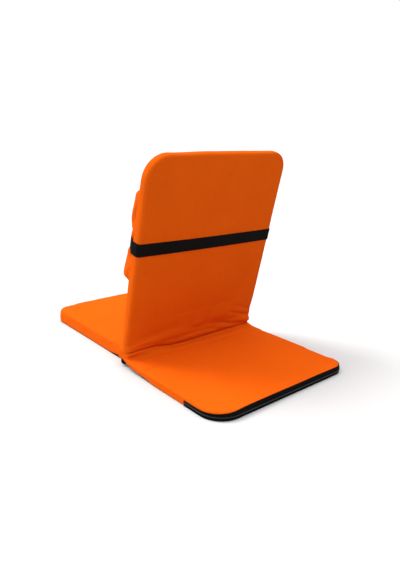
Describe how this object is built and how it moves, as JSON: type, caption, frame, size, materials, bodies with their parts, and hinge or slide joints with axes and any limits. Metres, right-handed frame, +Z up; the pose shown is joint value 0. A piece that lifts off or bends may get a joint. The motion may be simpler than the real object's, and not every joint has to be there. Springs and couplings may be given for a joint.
{
  "type": "folding floor chair",
  "caption": "Legless padded floor chair with a reclined backrest, a rear stabilising panel and a strapped lumbar cushion; the panels fold flat in a Z about hinges near the floor.",
  "frame": {"origin": "on the floor, under the middle of the whole chair, from the seat's front edge to the rear panel's rear edge", "axes": "+Z up; the chair faces -Y, so the rear panel lies towards +Y; +X is to the sitter's left"},
  "size_m": [0.476, 0.863, 0.5809],
  "materials": {
    "orange_cloth": "matt woven polyester",
    "black_cloth": "matt woven",
    "black_elastic": "matt ribbed elastic",
    "zip_tape": "matt woven tape",
    "zip_teeth": "satin",
    "zip_metal": "satin black enamel",
    "painted_tube": "satin black powder coat",
    "painted_plate": "satin black powder coat",
    "rivet_steel": "plain zinc",
    "black_nylon": "matt",
    "foam": "open-cell foam",
    "woven_web": "woven sheet"
  },
  "bodies": {
    "seat": {"seat_frame": "painted_tube", "seat_cross_bar": "painted_tube", "seat_frame_plugs": "black_nylon", "seat_foam": "foam", "seat_cover": "orange_cloth", "seat_base_cloth": "black_cloth", "hinge_plate_left": "painted_plate", "hinge_plate_right": "painted_plate", "plate_rivets": "rivet_steel", "back_pivot_rivets": "rivet_steel", "tail_pivot_rivets": "rivet_steel", "pivot_spacers": "black_nylon", "pivot_washers": "black_nylon", "back_stop_pins": "rivet_steel", "tail_stop_pins": "rivet_steel", "front_gusset": "orange_cloth", "rear_gusset_upper": "orange_cloth", "rear_gusset_lower": "orange_cloth", "base_bridge": "black_cloth"},
    "backrest": {"back_frame": "painted_tube", "back_cross_bar": "painted_tube", "back_support_web": "woven_web", "back_foam_front": "foam", "back_foam_rear": "foam", "back_cover": "orange_cloth", "back_leg_plugs": "black_nylon"},
    "rear_panel": {"tail_frame": "painted_tube", "tail_cross_bar": "painted_tube", "tail_foam": "foam", "tail_cover": "orange_cloth", "tail_base_cloth": "black_cloth", "tail_leg_plugs": "black_nylon", "zip_tape_upper": "zip_tape", "zip_tape_lower": "zip_tape", "zip_teeth": "zip_teeth", "zip_stops": "zip_metal"},
    "lumbar": {"lumbar_foam": "foam", "lumbar_cover": "orange_cloth", "elastic_strap": "black_elastic"},
    "slider": {"zip_slider": "zip_metal"},
    "pull": {"zip_pull": "zip_metal"}
  },
  "joints": [
    {"name": "back_fold", "type": "hinge", "parent": "seat", "child": "backrest", "pos_m": [0, 0.0368, 0.056], "axis": [1, 0, 0], "range_deg": [0, 89], "deforming": ["front_gusset", "rear_gusset_upper", "lumbar_cover", "lumbar_foam"]},
    {"name": "tail_fold", "type": "hinge", "parent": "seat", "child": "rear_panel", "pos_m": [0, 0.0305, 0.013], "axis": [-1, 0, 0], "range_deg": [0, 165.4], "deforming": ["rear_gusset_lower", "base_bridge"]},
    {"name": "lumbar_slide", "type": "slide", "parent": "backrest", "child": "lumbar", "axis": [0, 0.225, 0.9744], "range_m": [-0.08, 0.1]},
    {"name": "zip_slide", "type": "slide", "parent": "rear_panel", "child": "slider", "axis": [0, 1, 0], "range_m": [0, 0.02]},
    {"name": "zip_pull_swing", "type": "hinge", "parent": "slider", "child": "pull", "pos_m": [-0.2354, 0.323, 0.0097], "axis": [0, 0, 1], "range_deg": [0, 120]}
  ]
}
